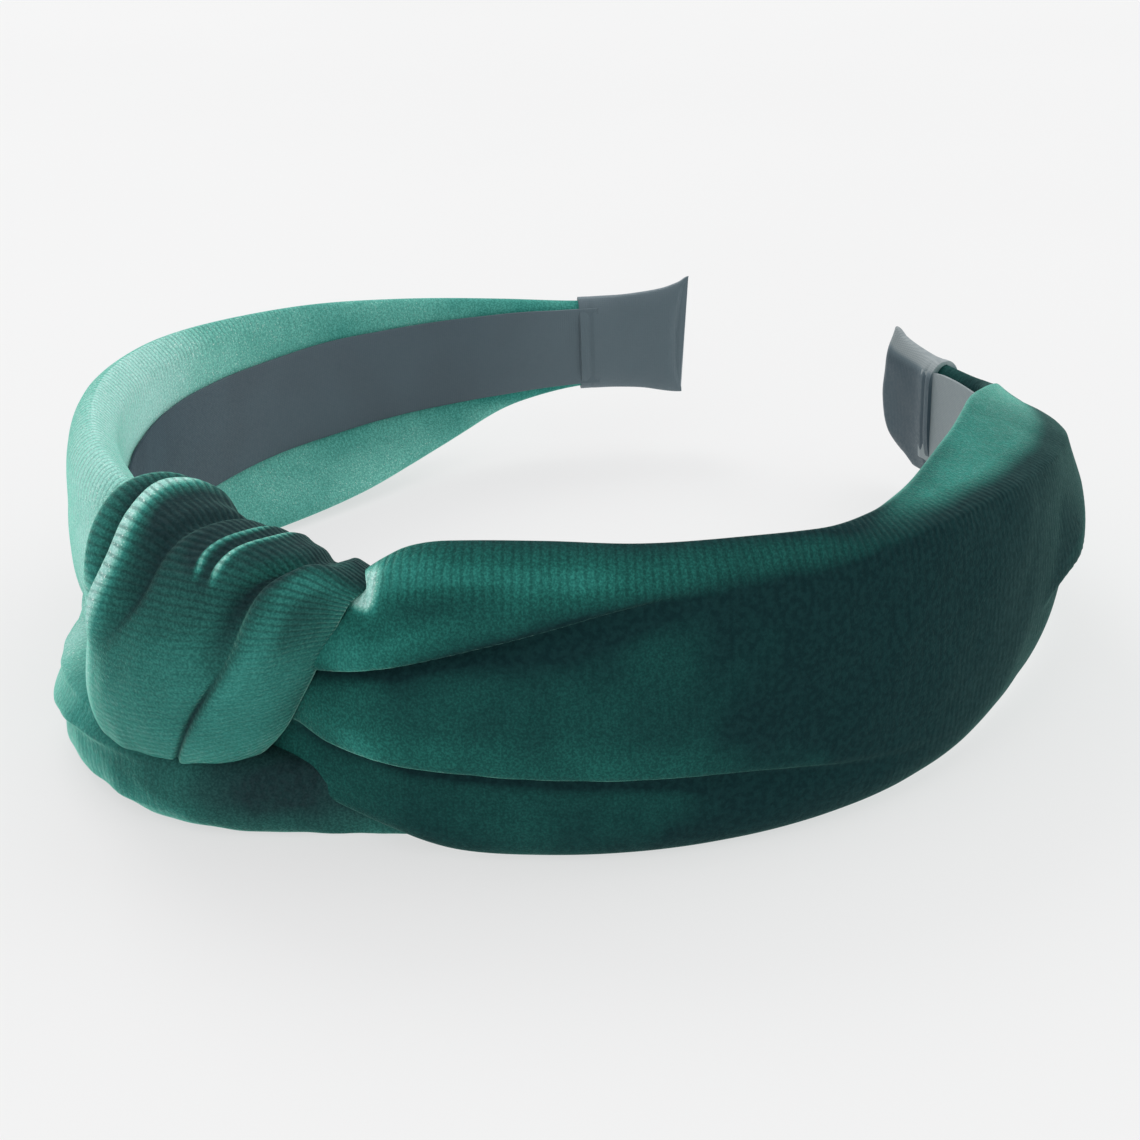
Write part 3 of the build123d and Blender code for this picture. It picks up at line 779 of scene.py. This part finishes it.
def velvet_material():
    """Deep green ribbed velvet, with its light and shade painted into the base colour. Its pile leans along the
    band, so it is painted dark against the direction of its pile and light along it, lighter where each piece
    stores painted light, with a painted sheen towards grazing angles and painted glints where it is light."""
    n = Nodes("velvet")
    lie = n.add("ShaderNodeTangent", direction_type="UV_MAP", uv_map="nap").outputs["Tangent"]
    towards = n.add("ShaderNodeNewGeometry").outputs["Incoming"]
    lean = n.add("ShaderNodeVectorMath", {0: lie, 1: towards}, operation="DOT_PRODUCT").outputs["Value"]
    patch = n.ramp(n.noise(45.0, 3.0, 0.55), 0.3, 0.7, -0.10, 0.10)
    lean = n.math("ADD", n.math("ADD", lean, n.attribute("lie")), patch)
    lightness = n.ramp(lean, -0.25, 1.5, 0.0, 1.4, "LINEAR")
    wander = n.ramp(n.noise(90.0, 2.0), 0.3, 0.7, -0.35, 0.35)
    wave = n.wave(n.math("ADD", n.attribute("rib"), wander), RIB_PITCH)
    pile = n.noise(3400.0, 3.0, 0.6)
    tuft = n.noise(1300.0, 2.0, 0.5)
    facing = n.add("ShaderNodeLayerWeight", {"Blend": 0.35}).outputs["Facing"]
    ribbed = n.attribute("ribbed")
    # Painted shade in the grooves between the ribs.
    groove = n.math("MULTIPLY", n.ramp(wave, 0.0, 0.5, 0.45, 0.0), ribbed)
    # Shaded and lit copies of the green, picked by the painted lightness.
    dark = n.mix(n.ramp(tuft, 0.35, 0.65), rgb(0.003, 0.024, 0.027), rgb(0.006, 0.036, 0.038))
    middle = n.mix(n.ramp(pile, 0.35, 0.7), rgb(0.012, 0.115, 0.097), rgb(0.022, 0.190, 0.155))
    bright = n.mix(n.ramp(pile, 0.35, 0.7), rgb(0.028, 0.24, 0.20), rgb(0.05, 0.33, 0.28))
    light = n.mix(n.ramp(pile, 0.35, 0.7), rgb(0.15, 0.52, 0.43), rgb(0.26, 0.70, 0.59))
    palest = n.mix(n.ramp(pile, 0.35, 0.7), rgb(0.42, 0.84, 0.75), rgb(0.60, 0.95, 0.88))
    lit = n.mix(n.ramp(lightness, 0.0, 0.5, 0.0, 1.0, "LINEAR"), dark, middle)
    lit = n.mix(n.ramp(lightness, 0.45, 0.75, 0.0, 1.0, "LINEAR"), lit, bright)
    lit = n.mix(n.ramp(lightness, 0.72, 1.05, 0.0, 1.0, "LINEAR"), lit, light)
    lit = n.mix(n.ramp(lightness, 1.02, 1.4, 0.0, 1.0, "LINEAR"), lit, palest)
    # Painted sheen towards grazing angles, where the pile is light.
    edge = n.ramp(facing, 0.5, 1.0)
    rim = n.math("MULTIPLY", edge, n.ramp(lightness, 0.1, 0.6, 0.10, 0.6))
    colour = n.mix(rim, lit, light)
    colour = n.mix(groove, colour, rgb(0.002, 0.016, 0.016))
    colour = n.mix(n.ramp(pile, 0.42, 0.62, 0.16, 0.0), colour, rgb(0.0, 0.01, 0.01))
    # Painted grey sheen on the knot's pieces, varied by the pile's noise.
    haze = n.math("MULTIPLY", n.attribute("haze"), n.ramp(pile, 0.35, 0.65, 0.06, 0.16))
    colour = n.mix(haze, colour, rgb(0.13, 0.17, 0.18))
    # Painted glints: near-white flecks in the base colour where the pile is light and along the painted rims;
    # there the specular is also really shinier and smoother.
    sparkle = n.math("MAXIMUM", n.ramp(lightness, 0.75, 1.2), n.math("MULTIPLY", rim, 1.2))
    glint = n.math("MULTIPLY", n.ramp(n.noise(4600.0, 0.0), 0.70, 0.77), sparkle)
    fibres = n.math("ADD", n.math("MULTIPLY", pile, 0.7), n.math("MULTIPLY", tuft, 0.35))
    height = n.math("ADD", n.math("MULTIPLY", wave, ribbed), fibres)
    return n.finish(
        Base_Color=n.mix(glint, colour, rgb(0.75, 0.95, 0.88)),
        Roughness=n.ramp(glint, 0, 1, 0.85, 0.3),
        Specular_IOR_Level=n.ramp(glint, 0, 1, 0.10, 0.9),
        Sheen_Weight=n.ramp(lightness, 0.0, 0.8, 0.10, 1.0),
        Sheen_Roughness=0.30,
        Sheen_Tint=n.mix(n.ramp(tuft, 0.4, 0.65), rgb(0.25, 0.85, 0.66), rgb(0.5, 1.0, 0.85)),
        Normal=n.bump(height, 0.00022, 0.8))


def ribbon_material():
    """Slate-grey woven ribbon with fine cross ribs and a satin sheen, and painted shade and painted satin
    highlights in its colour.
    """
    n = Nodes("lining_ribbon")
    weft = n.wave(n.attribute("rib"), WEFT_PITCH)
    warp = n.wave(n.attribute("across"), WARP_PITCH)
    weave = n.math("MULTIPLY", weft, warp)
    fibre = n.noise(1800.0, 3.0, 0.6)
    cloud = n.noise(70.0, 2.0)
    shade = n.mix(n.ramp(cloud, 0.35, 0.65), rgb(0.010, 0.030, 0.047), rgb(0.018, 0.045, 0.065))
    # Where the fade attribute is higher the ribbon is paler: darkest in the painted shade near the knot, palest in
    # the painted satin highlights.
    fade = n.attribute("fade")
    shade = n.mix(n.ramp(fade, 0.0, 1.2, 0.0, 0.9, "LINEAR"), shade, rgb(0.13, 0.18, 0.205))
    shade = n.mix(n.ramp(fade, 1.1, 1.7), shade, rgb(0.30, 0.34, 0.35))
    # The weave's pattern of lighter thread crossings, with painted highlights on their crests.
    shade = n.mix(n.ramp(weave, 0.0, 0.6, 0.0, 0.3), shade, rgb(0.09, 0.125, 0.145))
    height = n.math("ADD", n.math("MULTIPLY", weave, 0.7), n.math("MULTIPLY", fibre, 0.5))
    return n.finish(
        Base_Color=shade,
        Roughness=n.ramp(fibre, 0.3, 0.7, 0.42, 0.62),
        Specular_IOR_Level=n.ramp(fade, 0.0, 0.5, 0.12, 0.4),
        Sheen_Weight=0.15,
        Sheen_Roughness=0.4,
        Sheen_Tint=rgb(0.7, 0.85, 0.9),
        Normal=n.bump(height, 0.00008, 0.6))


def core_material():
    """Dark moulded plastic strip."""
    n = Nodes("core_plastic")
    grain = n.noise(1500.0, 3.0)
    colour = n.mix(n.ramp(n.noise(120.0), 0.3, 0.7), rgb(0.012, 0.012, 0.014), rgb(0.022, 0.022, 0.025))
    return n.finish(Base_Color=colour, Roughness=n.ramp(grain, 0.3, 0.7, 0.4, 0.55),
                    Normal=n.bump(grain, 0.00004, 0.4))


def foam_material():
    """Off-white open-cell foam."""
    n = Nodes("padding_foam")
    cells = n.add("ShaderNodeTexVoronoi", {"Vector": n.position(), "Scale": 1600.0}).outputs["Distance"]
    colour = n.mix(n.ramp(cells, 0.1, 0.6), rgb(0.55, 0.53, 0.46), rgb(0.83, 0.81, 0.74))
    return n.finish(Base_Color=colour, Roughness=0.95, Normal=n.bump(cells, 0.0002, 0.7))


def floor_material():
    """Pale matt floor that glows a little, so that it stays pale in every direction."""
    n = Nodes("pale_floor")
    tone = n.mix(n.ramp(n.noise(4.0), 0.3, 0.7), rgb(0.25, 0.25, 0.25), rgb(0.26, 0.26, 0.26))
    return n.finish(Base_Color=tone, Roughness=0.9, Specular_IOR_Level=0.05, Emission_Color=rgb(1, 1, 1),
                    Emission_Strength=0.615)


# ---------------------------------------------------------------- put together
materials = {
    "velvet": velvet_material(),
    "lining_ribbon": ribbon_material(),
    "core_plastic": core_material(),
    "padding_foam": foam_material(),
}


def dress(piece, slot_name):
    """Gives the piece its material, under the part's name for it."""
    piece.data.materials.clear()
    piece.data.materials.append(materials[slot_name])
    return piece


for row in frame["record"]["subparts"]:
    node = frame["nodes"][row["node"]]
    for material_slot in node.material_slots:
        material_slot.material = materials[row["material_slot"]]

# Distance on each side of a flexing zone's hinge at which flex works out the hoop's points.
BLEND_REACH = 19.0


def flex(piece, side):
    """Bakes the piece's placement into its mesh. The hoop's points at the ends of the flexing zone are worked
    out, but nothing uses them.
    """
    ends = (FLEX - BLEND_REACH, FLEX + BLEND_REACH)
    before, after = (Vector(place(SIDES[side] * s, 0, 0) * MM) for s in ends)
    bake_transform(piece)
    return piece


arm_shapes = {"right": (right_edges, right_relief), "left": (left_edges, left_relief)}
for side in SIDES:
    velvet = flex(dress(velvet_arm(side, *arm_shapes[side]), "velvet"), side)
    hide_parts("velvet_neck", "velvet_sleeve_" + side)
    pad = flex(dress(foam_pad(side, *arm_shapes[side]), "padding_foam"), side)
    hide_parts("foam_crown", "foam_" + side)
    lining = flex(dress(ribbon(side), "lining_ribbon"), side)
    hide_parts("lining_crown", "lining_" + side)
    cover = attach(dress(tip_cover(side), "lining_ribbon"), side + "_arm")
    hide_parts("tip_wrap_" + side)

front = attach(dress(knot_front(), "velvet"), "crown")
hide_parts("knot_wrap")
loop = flex(dress(knot_loop(), "velvet"), "left")
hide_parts("knot_lower_loop")


# ---------------------------------------------------------------- floor, light and camera
FLOOR_HALF = 3.0
FLOOR_GAP = 0.0001


def lowest_point():
    return min(v.co.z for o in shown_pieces() if o.type == "MESH" for v in o.data.vertices)


def make_floor(height):
    mesh = bpy.data.meshes.new("floor")
    corners = [(x * FLOOR_HALF, y * FLOOR_HALF, height) for x, y in ((-1, -1), (1, -1), (1, 1), (-1, 1))]
    mesh.from_pydata(corners, [], [(0, 1, 2, 3)])
    mesh.materials.append(floor_material())
    floor = bpy.data.objects.new("floor", mesh)
    bpy.context.scene.collection.objects.link(floor)
    floor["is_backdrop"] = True


def sun_light(name, source, spread, strength, colour):
    """Distant soft light that comes from the direction of its source; spread is its width in degrees."""
    light = bpy.data.lights.new(name, "SUN")
    light.angle = math.radians(spread)
    light.energy = strength
    light.color = colour
    lamp = bpy.data.objects.new(name, light)
    lamp.rotation_euler = Vector(source).to_track_quat("Z", "Y").to_euler()
    bpy.context.scene.collection.objects.link(lamp)


def make_world(strength):
    world = bpy.data.worlds.new("studio")
    world.use_nodes = True
    background = world.node_tree.nodes["Background"]
    background.inputs["Color"].default_value = rgb(0.985, 0.99, 1.0)
    background.inputs["Strength"].default_value = strength
    bpy.context.scene.world = world


def make_camera(location, look, up, lens):
    """Camera at a place in metres, looking along a direction, with a given upward direction."""
    back = -Vector(look).normalized()
    right = Vector(up).cross(back).normalized()
    camera = bpy.data.objects.new("camera", bpy.data.cameras.new("camera"))
    camera.data.lens = lens
    camera.data.sensor_width = 36.0
    camera.data.clip_start = 0.01
    axes = Matrix((right, back.cross(right), back)).transposed()
    camera.matrix_world = Matrix.Translation(location) @ axes.to_4x4()
    bpy.context.scene.collection.objects.link(camera)
    bpy.context.scene.camera = camera


make_floor(lowest_point() - FLOOR_GAP)
make_world(0.86)
sun_light("key", source=(-0.80, 0.40, 0.85), spread=30, strength=0.75, colour=(1.0, 0.99, 0.97))
sun_light("back", source=(0.30, 0.80, 0.95), spread=50, strength=0.45, colour=(1.0, 1.0, 1.0))
make_camera(location=(0.1567, -0.2195, 0.1102), look=(-0.5298, 0.7384, -0.4172), up=(-0.2147, 0.3592, 0.9082),
            lens=59.49)
bpy.context.scene.view_settings.view_transform = "Standard"
